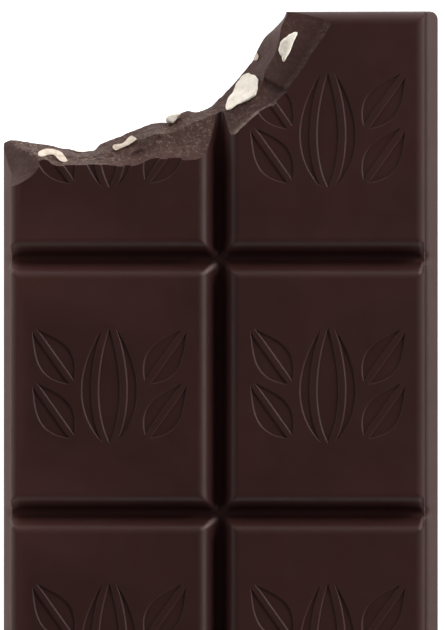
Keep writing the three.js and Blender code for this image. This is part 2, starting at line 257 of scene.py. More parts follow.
def finished_normals(piece: bpy.types.Object, angle: float) -> None:
    """Shades a piece smoothly, apart from its sharp edges and the borders between its skins.

    The large flat faces keep their own direction, because each point's normal is weighted by the
    area of the faces round it.

    Args:
        piece: the object, whose modifiers are all applied.
        angle: the angle in degrees past which an edge is sharp.
    """
    mesh = piece.data
    mesh.polygons.foreach_set("use_smooth", np.ones(len(mesh.polygons), bool))
    mesh.set_sharp_from_angle(angle=math.radians(angle))
    edges = read(mesh.loops, "edge_index", np.int32)
    sizes = read(mesh.polygons, "loop_total", np.int32)
    skins = np.repeat(read(mesh.polygons, "material_index", np.int32), sizes)
    low, high = np.full(len(mesh.edges), len(Skin)), np.full(len(mesh.edges), -1)
    np.minimum.at(low, edges, skins)
    np.maximum.at(high, edges, skins)
    sharp = read(mesh.edges, "use_edge_sharp", bool)
    mesh.edges.foreach_set("use_edge_sharp", sharp | (low != high))
    weighted = piece.modifiers.new("even_shading", "WEIGHTED_NORMAL")
    weighted.mode, weighted.weight, weighted.keep_sharp = "FACE_AREA", FACE_WEIGHT, True
    apply_modifiers(piece)


def points_of(mesh: bpy.types.Mesh) -> np.ndarray:
    """Returns a mesh's points in millimetres, shaped (n, 3)."""
    return read_vectors(mesh.vertices, "co") / MM


def mark(mesh: bpy.types.Mesh, name: str, values: np.ndarray) -> None:
    """Writes one number for each point of a mesh into a new attribute."""
    mesh.attributes.new(name, "FLOAT", "POINT").data.foreach_set("value", values)


def risen(x: np.ndarray, start: float, width: float) -> np.ndarray:
    """Returns how far x has come from start, as a share of a width, from 0 to 1."""
    return np.clip((x - start) / width, 0, 1)


def eased(share: np.ndarray) -> np.ndarray:
    """Returns a share from 0 to 1 that starts and stops smoothly."""
    return share * share * (3 - 2 * share)


def lattice_noise(points: np.ndarray, seed: float) -> np.ndarray:
    """Seeded value noise from -1 to 1.

    Each whole-number point of space has a value, the fraction of a large multiple of its phase's
    sine, and values blend smoothly between the eight points round a place.

    Args:
        points: places shaped (..., 3).
        seed: shifts every phase.

    Returns:
        The noise, shaped as points without its last axis.
    """
    cell = np.floor(points)
    part = eased(points - cell)
    total = np.zeros(points.shape[:-1])
    for corner in itertools.product((0, 1), repeat=3):
        value = np.sin((cell + corner) @ np.array(HASH_STEPS) + seed) * HASH_SCALE
        value = 2 * (value - np.floor(value)) - 1
        total += value * np.prod(np.where(corner, part, 1 - part), axis=-1)
    return total


def smooth_through(rows: np.ndarray, at: np.ndarray, closed: bool = False) -> np.ndarray:
    """Rows of numbers anywhere on a smooth curve through a list of them.

    A cubic joins each two rows, and its slope at a row is half the step between that row's two
    neighbours.

    Args:
        rows: the rows, shaped (count, numbers).
        at: places on the curve, where whole numbers are the rows, shaped (n,).
        closed: whether the last row is joined to the first.

    Returns:
        The numbers, shaped (n, numbers).
    """
    last = len(rows) if closed else len(rows) - 1
    i = np.clip(np.floor(at), 0, last - 1).astype(int)
    t = (at - i)[:, None]
    reach = [i + k for k in (-1, 0, 1, 2)]
    a, b, c, d = (rows[k % len(rows) if closed else np.clip(k, 0, last)] for k in reach)
    slope_b, slope_c = (c - a) / 2, (d - b) / 2
    rise = 3 * (c - b) - 2 * slope_b - slope_c
    settle = 2 * (b - c) + slope_b + slope_c
    return b + slope_b * t + rise * t**2 + settle * t**3


def rounded_line(corners: list[Corner], steps: int) -> np.ndarray:
    """Returns a line through corners (along, height, radius), those with a radius rounded.

    A rounded corner becomes the arc of that radius that touches both of its straight neighbours.
    """
    line: list[np.ndarray] = []
    for i, (x, z, radius) in enumerate(corners):
        here = np.array([x, z])
        if radius == 0:
            line.append(here)
            continue
        back = np.array(corners[i - 1][:2]) - here
        on = np.array(corners[i + 1][:2]) - here
        back /= np.linalg.norm(back)
        on /= np.linalg.norm(on)
        half = math.acos(float(np.clip(back @ on, -1, 1))) / 2
        middle = (back + on) / np.linalg.norm(back + on)
        centre = here + middle * radius / math.sin(half)
        start = here + back * radius / math.tan(half) - centre
        end = here + on * radius / math.tan(half) - centre
        turn = math.copysign(math.pi - 2 * half, start[0] * end[1] - start[1] * end[0])
        angles = turn * np.arange(steps + 1) / steps
        cos, sin = np.cos(angles), np.sin(angles)
        arc = np.stack([start[0] * cos - start[1] * sin, start[0] * sin + start[1] * cos], axis=-1)
        line.extend(arc + centre)
    return np.array(line)


# ---- The mould's form ----


@dataclass(frozen=True)
class Edge:
    """The section of one of the bar's edges. Sizes are in millimetres and slopes in degrees.

    From the middle outwards it has a rounded crown, a lip, a wall, a narrow shelf at its foot, a
    brow and a slant out to the rim. The lip, the foot and the brow are measured in from the
    outline. The crown takes a share of the radius that would reach the lip.
    """

    lip: float
    foot: float
    brow: float
    slant: float
    shelf: float
    crown: float
    slope: float
    lip_radius: float = 0.03
    foot_radius: float = 0.1
    brow_radius: float = 1.5
    crown_share: float = 0.98

    def corners(self, start: float, mould: Mould) -> list[Corner]:
        """Returns the edge's corners, from an outline at start inwards.

        The crown is an arc of radius crown / sin(slope), which starts level at the top face.
        """
        slope = math.radians(self.slope)
        radius = self.crown / math.sin(slope)
        drop = radius * (1 - math.cos(slope))
        turn = self.lip + self.crown - radius * math.tan(slope / 2)
        brow = mould.rim_height + self.brow * math.tan(math.radians(self.slant))
        foot = brow + (self.foot - self.brow) * math.tan(math.radians(self.shelf))
        return [
            (start, mould.rim_height, 0.0),
            (start + self.brow, brow, self.brow_radius),
            (start + self.foot, foot, self.foot_radius),
            (start + self.lip, mould.thickness - drop, self.lip_radius),
            (start + turn, mould.thickness, radius * self.crown_share),
        ]


@dataclass(frozen=True)
class PaintedHighlight:
    """A painted highlight along a line, repeated at each cross groove and placed from its middle."""

    start: tuple[float, float]
    end: tuple[float, float]
    width: float
    share: float
    fade: float = 1.5

    def cover(self, places: np.ndarray) -> np.ndarray:
        """How much painted highlight the surface takes, from 0 to 1: most on the line, and none
        beyond its width.

        Args:
            places: places from the middle of the groove, shaped (n, 2).

        Returns:
            Shares shaped (n,).
        """
        start, along = np.array(self.start), np.subtract(self.end, self.start)
        share = np.clip((places - start) @ along / (along @ along), 0, 1)
        away = np.linalg.norm(places - start - share[:, None] * along, axis=1)
        return self.share * np.clip(self.fade - self.fade * away / self.width, 0, 1)


@dataclass(frozen=True)
class Mould:
    """The squares, grooves and slab edge that the mould gives. Sizes are in millimetres."""

    width: float
    length: float
    thickness: float
    columns: int = 2
    rows: int = 4
    groove_width: float = 4.2
    groove_floor: float = 2.6
    groove_slope: float = 65.0
    side_margin: float = 2.1
    end_margin: float = 0.95
    left: Edge = Edge(lip=1.4, foot=1.37, brow=0.95, slant=60, shelf=60, crown=1.37, slope=56)
    right: Edge = Edge(lip=1.91, foot=1.9, brow=1.4, slant=51, shelf=10, crown=1.3, slope=32)
    end: Edge = Edge(
        lip=0.28, foot=0.2, brow=0.1, slant=76, shelf=60, crown=1.95, slope=76, brow_radius=0.1
    )
    rim_height: float = 0.35
    mouth_trim: float = 0.1
    row_shift: float = -0.2
    top_edge_radius: float = 1.6
    corner_radius: float = 1.2
    corner_power: float = 9.0
    edge_power: float = 6.0
    arc_steps: int = 8
    wall_step: float = 0.35
    least_step: float = 0.02
    least_rise: float = 1e-6
    bed_cells: tuple[int, int] = (45, 99)
    bed_waves: tuple[tuple[float, float, float], ...] = ((14, 0.05, 1.3), (4, 0.02, 2.9))
    # Painted light: how pale each side of the slab edge is painted, for the light its outer slopes
    # catch from the floor
    left_painted_light: float = 0.7
    right_painted_light: float = 0.05
    end_painted_light: float = 0.1
    painted_light_width: float = 3.0
    # Painted highlights where the groove corners and the groove ends catch the light
    painted_highlights: tuple[PaintedHighlight, ...] = (
        PaintedHighlight((-2.4, -2.2), (-1.7, -1.8), 0.35, 0.6),
        PaintedHighlight((-1.7, -1.8), (-0.8, -1.05), 0.45, 1.0),
        PaintedHighlight((29.0, 2.2), (29.4, 0.3), 0.3, 0.5),
        PaintedHighlight((29.4, -0.7), (29.0, -2.1), 0.3, 0.8),
        PaintedHighlight((-30.2, -1.2), (-29.9, -1.9), 0.4, 0.8),
    )

    @property
    def square_width(self) -> float:
        """Width of one square's top face."""
        inner = self.width - 2 * self.side_margin - (self.columns - 1) * self.groove_width
        return inner / self.columns

    @property
    def square_length(self) -> float:
        """Length of one square's top face."""
        inner = self.length - 2 * self.end_margin - (self.rows - 1) * self.groove_width
        return inner / self.rows

    @property
    def square_middles(self) -> list[tuple[float, float]]:
        """Middles (x, y) of the squares, a column at a time."""
        step_x = self.square_width + self.groove_width
        step_y = self.square_length + self.groove_width
        return [
            ((column - (self.columns - 1) / 2) * step_x, (row - (self.rows - 1) / 2) * step_y)
            for column, row in itertools.product(range(self.columns), range(self.rows))
        ]

    @property
    def cross_grooves(self) -> list[float]:
        """Middles of the grooves that run across the bar."""
        step = self.square_length + self.groove_width
        return [(i - self.rows / 2) * step + self.row_shift for i in range(1, self.rows)]

    def section(
        self, count: int, square: float, margin: float, edges: tuple[Edge, Edge], shift: float
    ) -> np.ndarray:
        """The section line across a run of squares, from one edge of the bar to the other.

        Args:
            count: how many squares.
            square: size of a square's top face along the section.
            margin: from the outline to the first square's place in the grid.
            edges: the forms of the first and the last edge.
            shift: how far the grooves lie from the middle of their places in the grid.

        Returns:
            Points (along, height).
        """
        top = self.thickness
        half = (count * square + (count - 1) * self.groove_width) / 2 + margin
        reach = self.groove_width / 2 - self.mouth_trim
        slope = math.radians(self.groove_slope)
        apex = top - reach * math.tan(slope)
        bottom_radius = (self.groove_floor - apex) * math.cos(slope) / (1 - math.cos(slope))
        first, last = (edge.corners(-half, self) for edge in edges)
        corners: list[Corner] = list(first)
        for i in range(1, count):
            middle = -half + margin + i * (square + self.groove_width) - self.groove_width / 2
            corners.append((middle + shift - reach, top, self.top_edge_radius))
            corners.append((middle + shift, apex, bottom_radius))
            corners.append((middle + shift + reach, top, self.top_edge_radius))
        corners.extend((-x, z, radius) for x, z, radius in reversed(last))
        return rounded_line(corners, self.arc_steps)

    @property
    def across(self) -> np.ndarray:
        """The section line across the bar."""
        edges = (self.left, self.right)
        return self.section(self.columns, self.square_width, self.side_margin, edges, 0.0)

    @property
    def along(self) -> np.ndarray:
        """The section line along the bar."""
        edges = (self.end, self.end)
        return self.section(self.rows, self.square_length, self.end_margin, edges, self.row_shift)

    def _lines(self, section: np.ndarray) -> np.ndarray:
        """Grid lines at every point of a section, with more where it slopes for long."""
        lines = [section[:1, 0]]
        for (x0, z0), (x1, z1) in zip(section[:-1], section[1:]):
            level = abs(z1 - z0) < self.least_rise
            pieces = 1 if level else max(1, math.ceil((x1 - x0) / self.wall_step))
            lines.append(x0 + (x1 - x0) * np.arange(1, pieces + 1) / pieces)
        places = np.concatenate(lines)
        apart = np.concatenate([[True], np.diff(places) > self.least_step])
        apart[-1] = True
        return places[apart]

    def slab(self) -> Shell:
        """The whole bar before its corners are rounded and its underside is laid.

        The depth below the top is a power mean of the depths of the two sections, so the deeper
        one wins and the corners between them are slightly rounded. Between the squares it goes no
        deeper than the grooves, which cross at one level.
        """
        across, along = self.across, self.along
        x, y = self._lines(across), self._lines(along)
        deep_x = self.thickness - np.interp(x, across[:, 0], across[:, 1])[None, :]
        deep_y = self.thickness - np.interp(y, along[:, 0], along[:, 1])[:, None]
        deep_x, deep_y = np.maximum(deep_x, 0), np.maximum(deep_y, 0)
        inner_x = np.abs(x)[None, :] < self.width / 2 - self.side_margin
        inner_y = np.abs(y)[:, None] < self.length / 2 - self.end_margin
        limit = np.where(inner_x & inner_y, self.thickness - self.groove_floor, np.inf)
        power = np.where(inner_x & inner_y, self.corner_power, self.edge_power)
        blended = (deep_x**power + deep_y**power) ** (1 / power)
        depth = np.maximum(np.maximum(deep_x, deep_y), np.minimum(blended, limit))
        return field_shell(x, y, self.thickness - depth, -SPARE)

    def painted_edge_light(self, points: np.ndarray) -> np.ndarray:
        """Painted light along the slab edge, from 0 to 1, most on the left, for the light that the
        outer slopes catch from the floor.

        Args:
            points: places shaped (n, 3).

        Returns:
            Shares shaped (n,).
        """
        x, y = points[:, 0], points[:, 1]
        sides = (
            (x + self.width / 2, self.left_painted_light, self.painted_light_width),
            (self.width / 2 - x, self.right_painted_light, self.painted_light_width),
            (y + self.length / 2, self.end_painted_light, self.painted_light_width / 2),
            (self.length / 2 - y, self.end_painted_light, self.painted_light_width / 2),
        )
        shares = [most * np.clip(1 - inside / width, 0, 1) ** 0.5 for inside, most, width in sides]
        return np.max(shares, axis=0)

    def painted_highlight(self, points: np.ndarray) -> np.ndarray:
        """How much painted highlight the moulded surface takes, from 0 to 1, at the corners of the
        grooves.

        Args:
            points: places shaped (n, 3).

        Returns:
            Shares shaped (n,).
        """
        shares = [
            painted_highlight.cover(points[:, :2] - [0, middle])
            for middle in self.cross_grooves
            for painted_highlight in self.painted_highlights
        ]
        return np.max(shares, axis=0)

    def outline(self) -> Shell:
        """An upright prism on the bar's outline, a rectangle with rounded corners."""
        radius = self.corner_radius
        angles = np.linspace(0, math.pi / 2, self.arc_steps + 1)
        turns = np.concatenate([angles + quarter * math.pi / 2 for quarter in range(4)])
        side = np.repeat([[1, 1], [-1, 1], [-1, -1], [1, -1]], self.arc_steps + 1, axis=0)
        centres = side * [self.width / 2 - radius, self.length / 2 - radius]
        plan = centres + radius * np.stack([np.cos(turns), np.sin(turns)], axis=-1)
        levels = [-SPARE / 2, self.thickness + SPARE]
        return ring_shell(np.stack([np.c_[plan, np.full(len(plan), level)] for level in levels]))

    def bed(self) -> Shell:
        """A block over the uneven underside, which was scraped level and set in the open.

        Its lower face is low noise (size, height, seed) above a level plane, so the bar rests on
        the peaks.
        """
        halves = self.width / 2 + SPARE, self.length / 2 + SPARE
        x, y = (np.linspace(-half, half, n + 1) for half, n in zip(halves, self.bed_cells))
        plan = np.stack(np.meshgrid(x, y), axis=-1)
        places = np.concatenate([plan, np.zeros(plan.shape[:-1] + (1,))], axis=-1)
        waves = sum(
            height * lattice_noise(places / size, seed) for size, height, seed in self.bed_waves
        )
        shell = field_shell(x, y, -(waves - waves.min()), -self.thickness - SPARE)
        return Shell(shell.points * [1, 1, -1], [face[::-1] for face in shell.faces])


# ---- The motif sunk into each square ----


@dataclass(frozen=True)
class SunkField:
    """A shallow sunk field between two side curves, which meet in a point at each end.

    The curves give the places of the left and right sides at t from 0 to 1 along the field. The
    field is then turned about its stalk, which is a share of its length up it, and moved.
    """

    left: Curve
    right: Curve
    length: float
    stalk: tuple[float, float] = (0.0, 0.0)
    stalk_share: float = 0.0
    turn: float = 0.0
    points_a_side: int = 18
    samples: int = 1201
    steepest: float = 6.0

    def ring(self, inset: float, level: float) -> np.ndarray:
        """The field's outline drawn in evenly.

        Both sides move in by the inset, measured square to them, and the outline runs as far as the
        sides stay apart.

        Args:
            inset: how far in from the outermost outline.
            level: the ring's height.

        Returns:
            Points (x, y, z), anticlockwise from the lower tip.
        """
        t = np.linspace(0, 1, self.samples)
        sides = []
        for side, inwards in ((self.left(t), inset), (self.right(t), -inset)):
            slope = np.gradient(side, t[1] * self.length)
            square = np.hypot(1, np.clip(slope, -self.steepest, self.steepest))
            sides.append(side + inwards * square)
        left, right = sides
        middle = int(np.argmax(right - left))
        shut = right - left <= 0
        before = np.flatnonzero(shut[:middle])
        after = np.flatnonzero(shut[middle:])
        first = int(before[-1]) if len(before) else 0
        last = middle + int(after[0]) if len(after) else len(t) - 1
        spread = (1 - np.cos(np.linspace(0, math.pi, self.points_a_side + 2))) / 2
        at = t[first] + (t[last] - t[first]) * spread
        y = (at - self.stalk_share) * self.length
        up = np.stack([np.interp(at, t, right), y], axis=-1)
        down = np.stack([np.interp(at, t, left), y], axis=-1)
        tips = (up[[0, -1]] + down[[0, -1]]) / 2
        plan = np.concatenate([tips[:1], up[1:-1], tips[1:], down[-2:0:-1]])
        cos, sin = math.cos(self.turn), math.sin(self.turn)
        plan = plan @ np.array([[cos, sin], [-sin, cos]]) + np.array(self.stalk)
        return np.c_[plan, np.full(len(plan), level)]


@dataclass(frozen=True)
class PodMotif:
    """A ribbed pod between two pairs of leaves, sunk into the top of each square."""

    depth: float = 0.22
    wall_slope: float = 58.0
    edge_radius: float = 0.12
    edge_steps: int = 3
    overrun: tuple[float, float] = (-0.02, 0.03)
    pod_length: float = 17.6
    pod_width: float = 8.6
    pod_lobes: int = 3
    pod_points: int = 26
    pod_rib: float = 0.75
    pod_tip: float = 0.3
    pod_middle: float = 0.35
    pod_power: float = 0.62
    leaf_power: float = 0.8
    leaf_length: float = 9.6
    leaf_width: float = 4.6
    leaf_rib: float = 0.6
    leaf_spread: float = 5.4
    leaf_turn: float = 0.62
    leaf_lift: tuple[float, float] = (-7.6, 0.2)

    def _meridian(self, share: float, inset: float) -> Curve:
        """The pod's meridian at a share of its width, shifted by half a rib."""

        def curve(t: np.ndarray) -> np.ndarray:
            """Half the pod's width at t, times the sine of the meridian's angle."""
            narrowing = 1 - self.pod_tip * (t - self.pod_middle)
            half = self.pod_width / 2 * np.sin(math.pi * t) ** self.pod_power * narrowing
            return half * math.sin((share - 0.5) * math.pi) + inset

        return curve

    def _leaf_edge(self, side: int) -> Curve:
        """The outer edge of half a leaf: a sine bulge, fuller near the stalk."""
        return lambda t: side * (
            self.leaf_rib / 2 + self.leaf_width / 2 * np.sin(math.pi * t**self.leaf_power)
        )

    def _leaf_rib_edge(self, side: int) -> Curve:
        """The straight edge of half a leaf, along its midrib."""
        return lambda t: np.full_like(t, side * self.leaf_rib / 2)

    def fields(self) -> list[SunkField]:
        """Returns the lobes of the pod and the halves of the leaves."""
        fields = []
        for lobe in range(self.pod_lobes):
            low = 0 if lobe == 0 else self.pod_rib / 2
            high = 0 if lobe + 1 == self.pod_lobes else -self.pod_rib / 2
            left = self._meridian(lobe / self.pod_lobes, low)
            right = self._meridian((lobe + 1) / self.pod_lobes, high)
            fields.append(
                SunkField(
                    left, right, self.pod_length, stalk_share=0.5, points_a_side=self.pod_points
                )
            )
        halves = (
            (self._leaf_rib_edge(1), self._leaf_edge(1)),
            (self._leaf_edge(-1), self._leaf_rib_edge(-1)),
        )
        for side, lift in itertools.product((-1, 1), self.leaf_lift):
            stalk, turn = (side * self.leaf_spread, lift), -side * self.leaf_turn
            for left, right in halves:
                fields.append(SunkField(left, right, self.leaf_length, stalk, turn=turn))
        return fields

    def stamps(self, top: float) -> Shell:
        """The tool that sinks one motif.

        Each field's wall leaves the top in a small round edge, slopes down, and runs out into the
        level floor in another. It overruns the top a little, outwards and upwards.

        Args:
            top: height of the square's top face.

        Returns:
            A shell of separate closed stamps.
        """
        run = self.depth / math.tan(math.radians(self.wall_slope))
        radius = self.edge_radius
        wall = rounded_line(
            [(-SPARE, 0, 0), (radius, 0, radius), (radius + run, -self.depth, radius),
             (radius + run + SPARE, -self.depth, 0)],
            self.edge_steps,
        )[1:-1]
        wall -= [wall[0, 0], 0]
        wall[0] += self.overrun
        shells = []
        for sunk in self.fields():
            rings = [sunk.ring(inset, top + level) for inset, level in wall[::-1]]
            shells.append(ring_shell(np.stack(rings)))
        return joined(shells)


# ---- The bite ----


@dataclass(frozen=True)
class Fineness:
    """How many strips the break has between two ribs, up its lower face and over its upper face."""

    along: int
    lower: int
    upper: int


@dataclass(frozen=True)
class Patch:
    """A grid of places on the break.

    A place along it counts the ribs, and a place up it runs from 0 at the foot, past 1 at the ridge
    between the lower and the upper face, to 2 at the rim. They are shaped (n, 1) and (1, m).
    """

    s: np.ndarray
    v: np.ndarray


@dataclass(frozen=True)
class Crags:
    """Relief of a broken surface: sizes and heights of its octaves, in millimetres.

    The chocolate broke cleanly in some places and was crushed in others. How crushed it is, from 0
    to 1, follows straight lines between (place along the break, share) pairs, one row of them for
    the steep lower face and one for the upper face. It falls off towards the foot and the rim.
    """

    sizes: tuple[float, ...]
    heights: tuple[float, ...]
    seed: float = 4.7
    seed_step: float = 9.0
    lower: tuple[tuple[float, float], ...] = ((0.0, 1.0),)
    upper: tuple[tuple[float, float], ...] = ((0.0, 1.0),)
    least: float = 0.12
    change: tuple[float, float] = (0.9, 0.2)
    foot_share: float = 0.7
    foot_width: float = 0.3
    rim_share: float = 0.25
    rim_width: float = 0.5

    def crush(self, patch: Patch) -> np.ndarray:
        """How crushed the break is.

        Args:
            patch: where.

        Returns:
            Shares shaped (n, m).
        """
        low, high = (np.interp(patch.s, *np.array(row).T) for row in (self.lower, self.upper))
        near_rim = risen(patch.v, 2 - self.rim_width, self.rim_width)
        near_foot = 1 - risen(patch.v, 0, self.foot_width)
        fade = 1 - (1 - self.rim_share) * near_rim**2 - (1 - self.foot_share) * near_foot
        return (low + (high - low) * risen(patch.v, *self.change)) * fade

    def relief(self, points: np.ndarray, crush: np.ndarray) -> np.ndarray:
        """The height of the relief, which grows with how crushed the chocolate is.

        Args:
            points: places shaped (..., 3).
            crush: shares shaped as points without its last axis.

        Returns:
            Heights shaped as crush.
        """
        noise = sum(
            height * lattice_noise(points / size, self.seed + self.seed_step * i)
            for i, (size, height) in enumerate(zip(self.sizes, self.heights))
        )
        return noise * (self.least + (1 - self.least) * crush)


@dataclass(frozen=True)
class Step:
    """A small step across the break, whose far side (or near side) stands off its own surface."""

    at: float
    width: float
    height: float
    start: float
    end: float
    lean: float = 0.0
    side: int = 1
    widths_out: float = 8.0

    def relief(self, patch: Patch) -> np.ndarray:
        """The step's height: a smooth rise along the break that fades out at both of its ends.

        Args:
            patch: where.

        Returns:
            Heights shaped (n, m).
        """
        middle = self.at + self.lean * (patch.v - (self.start + self.end) / 2)
        past = self.side * (patch.s - middle) / self.width
        rise = eased(risen(past, -0.5, 1)) * (1 - risen(past, 0, self.widths_out))
        along = risen(patch.v, self.start, self.end - self.start)
        return self.height * rise * np.sin(math.pi * along) ** 0.5


@dataclass(frozen=True)
class Dent:
    """A small hollow where a crumb came out of the break: an ellipse seen from above."""

    at: tuple[float, float]
    reach: tuple[float, float]
    turn: float
    depth: float
    lip: float = 1.15
    wall: float = 0.45

    def relief(self, points: np.ndarray) -> np.ndarray:
        """The hollow's depth, below 0: a bowl with steep sides and a nearly flat floor.

        Args:
            points: places shaped (..., 3).

        Returns:
            Heights shaped as points without its last axis.
        """
        turn = math.radians(self.turn)
        off = points[..., :2] - np.array(self.at)
        axes = np.array([[math.cos(turn), -math.sin(turn)], [math.sin(turn), math.cos(turn)]])
        away = np.linalg.norm(off @ axes / np.array(self.reach), axis=-1)
        return -self.depth * eased(np.clip((self.lip - away) / self.wall, 0, 1))


@dataclass(frozen=True)
class Bite:
    """The break that the bite left.

    Ribs run up the break, from the long side of the bar round to its short end. Each holds the foot
    on the underside (x, y), the rim on the top face (x, y), where the ridge between the steep lower
    face and the flatter upper face lies (the share of the way in, and of the height), and how far
    the upper face dishes in.
    """

    thickness: float
    bar_length: float
    clearance: float = 10.0
    slope_step: float = 0.02
    # Painted shade: where the break is painted darker near its rim at the bar's end
    rim_shade_along: tuple[float, float] = (15.0, 1.5)
    rim_shade_up: tuple[float, float] = (1.25, 0.55)
    # The pale rim is crushed grain and a painted highlight along the rim's edge
    burr_and_highlight_width: float = 0.16
    burr_and_highlight_rise: float = 3.0
    looks_grid: Fineness = Fineness(8, 10, 16)
    looks_reach: float = 1.0
    burrs_and_highlights: tuple[tuple[float, float], ...] = ((13.6, 0.0), (14.2, 0.9), (15.9, 0.9), (16.4, 0.1))
    steps: tuple[Step, ...] = (
        Step(at=16.7, width=0.12, height=-0.6, start=1.0, end=2.1, lean=0.25, side=-1),
        Step(at=9.6, width=0.3, height=-0.3, start=1.1, end=2.0, lean=-1.3),
    )
    dents: tuple[Dent, ...] = (
        Dent(at=(-11.9, 51.6), reach=(1.25, 0.55), turn=22.0, depth=0.32),
    )
    ribs: tuple[tuple[float, ...], ...] = (
        (-33.0, 46.9, -30.3, 46.5, 0.5, 0.5, -0.2),
        (-32.4, 49.8, -27.3, 48.2, 0.5, 0.5, -0.2),
        (-31.9, 52.7, -26.1, 49.4, 0.5, 0.5, -0.15),
        (-30.9, 53.7, -25.6, 50.5, 0.48, 0.56, 0.2),
        (-28.5, 53.6, -24.6, 50.6, 0.45, 0.55, 0.35),
        (-25.9, 53.2, -23.3, 49.9, 0.45, 0.55, 0.35),
        (-19.2, 52.2, -18.5, 50.1, 0.45, 0.55, 0.35),
        (-17.3, 53.2, -16.6, 50.0, 0.45, 0.55, 0.35),
        (-14.9, 54.2, -14.8, 49.8, 0.4, 0.5, 0.35),
        (-12.0, 55.4, -12.2, 49.9, 0.35, 0.5, 0.35),
        (-9.6, 56.3, -9.6, 50.8, 0.35, 0.66, 0.35),
        (-7.2, 56.5, -6.6, 50.8, 0.31, 0.62, 0.35),
        (-5.1, 58.0, -4.2, 50.7, 0.32, 0.56, 0.35),
        (-3.0, 58.0, -2.1, 51.1, 0.21, 0.5, 0.35),
        (-0.9, 59.1, 0.5, 52.5, 0.25, 0.45, 0.35),
        (1.8, 61.8, 4.8, 56.7, 0.55, 0.7, 0.3),
        (3.6, 64.1, 7.4, 58.3, 0.55, 0.72, 0.1),
        (4.7, 65.4, 10.2, 61.3, 0.38, 0.7, -0.15),
        (5.4, 66.9, 12.3, 64.2, 0.38, 0.76, -0.22),
        (6.3, 68.5, 13.8, 66.5, 0.32, 0.8, -0.25),
        (7.9, 70.0, 15.5, 69.1, 0.14, 0.76, -0.25),
        (9.3, 71.7, 16.9, 71.4, 0.06, 0.74, -0.25),
        (9.9, 74.1, 18.2, 73.8, 0.06, 0.74, -0.25),
    )

    def surface(self, patch: Patch) -> np.ndarray:
        """The break without its crags.

        A straight line climbs from the foot to the ridge, and another, which dishes in by a
        parabola, from there to the rim. Both run on a little past their ends.

        Args:
            patch: where.

        Returns:
            Points shaped (n, m, 3).
        """
        rib = smooth_through(np.array(self.ribs), patch.s[:, 0])[:, None, :]
        v = patch.v[..., None]
        flat = np.zeros(rib.shape[:2] + (1,))
        foot = np.concatenate([rib[..., FOOT], flat], axis=-1)
        rim = np.concatenate([rib[..., RIM], flat + self.thickness], axis=-1)
        ridge = foot + (rim - foot) * rib[..., WAY_IN]
        ridge[..., 2] = self.thickness * rib[..., WAY_UP]
        lower = foot + (ridge - foot) * v
        upper = ridge + (rim - ridge) * (v - 1)
        upper[..., 2] -= rib[..., DISH] * 4 * (v[..., 0] - 1) * np.clip(2 - v[..., 0], 0, None)
        return np.where(v <= 1, lower, upper)

    def grid(self, strips: Fineness) -> Patch:
        """The whole break, and a little past its foot and its rim.

        Args:
            strips: how finely the break is divided.

        Returns:
            The patch.
        """
        last, lower, upper = len(self.ribs) - 1, strips.lower, strips.upper
        below = np.arange(-(lower // 4), lower) / lower
        above = 1 + np.arange(upper + upper // 6 + 1) / upper
        s = np.linspace(0, last, last * strips.along + 1)
        return Patch(s[:, None], np.concatenate([below, above])[None, :])

    def craggy(self, patch: Patch, crags: Crags, offset: float) -> np.ndarray:
        """The break itself.

        Each point of the plain surface moves along its normal by the offset and the relief.

        Args:
            patch: where.
            crags: the relief.
            offset: how far the surface moves out of the chocolate.

        Returns:
            Points shaped (n, m, 3).
        """
        s, v, off = patch.s, patch.v, self.slope_step
        along = self.surface(Patch(s + off, v)) - self.surface(Patch(s - off, v))
        up = self.surface(Patch(s, v + off)) - self.surface(Patch(s, v - off))
        outwards = np.cross(up, along)
        outwards /= np.linalg.norm(outwards, axis=-1, keepdims=True)
        points = self.surface(patch)
        relief = crags.relief(points, crags.crush(patch))
        relief = relief + sum(step.relief(patch) for step in self.steps)
        relief = relief + sum(dent.relief(points) for dent in self.dents)
        return points + outwards * (offset + relief)[..., None]

    def tool(self, crags: Crags, offset: float, strips: Fineness) -> Shell:
        """The tool that takes the bite: the break's own surface, closed by walls outside the bar.

        Args:
            crags: the relief.
            offset: how far the surface moves out of the chocolate.
            strips: how finely the surface is divided.

        Returns:
            The closed shell.
        """
        points = self.craggy(self.grid(strips), crags, offset)
        start, end = points[:, 0], points[:, -1]
        far = np.full(len(points), self.bar_length / 2 + self.clearance)
        roof = np.full(len(points), self.thickness + self.clearance)
        pit = start[:, 2] - self.clearance
        outer = (
            (end[:, 0], end[:, 1], roof),
            (start[:, 0], far, roof),
            (start[:, 0], far, pit),
            (start[:, 0], start[:, 1], pit),
        )
        walls = np.stack([np.stack(line, axis=-1) for line in outer], axis=1)
        return ring_shell(np.concatenate([points, walls], axis=1)[::-1])

    def painted_rim_shade(self, patch: Patch) -> np.ndarray:
        """Returns how far the break is painted darker, like the moulded face, by its rim at the
        bar's end: painted shade that softens the rim.
        """
        return risen(patch.s, *self.rim_shade_along) * risen(patch.v, *self.rim_shade_up)

    def burr_and_highlight(self, patch: Patch) -> np.ndarray:
        """Returns how far the rim is frayed into a pale, crushed edge, which is also a painted
        highlight along the rim.
        """
        along = np.interp(patch.s, *np.array(self.burrs_and_highlights).T)
        return along * risen(patch.v, 2 - self.burr_and_highlight_width, self.burr_and_highlight_width / self.burr_and_highlight_rise)

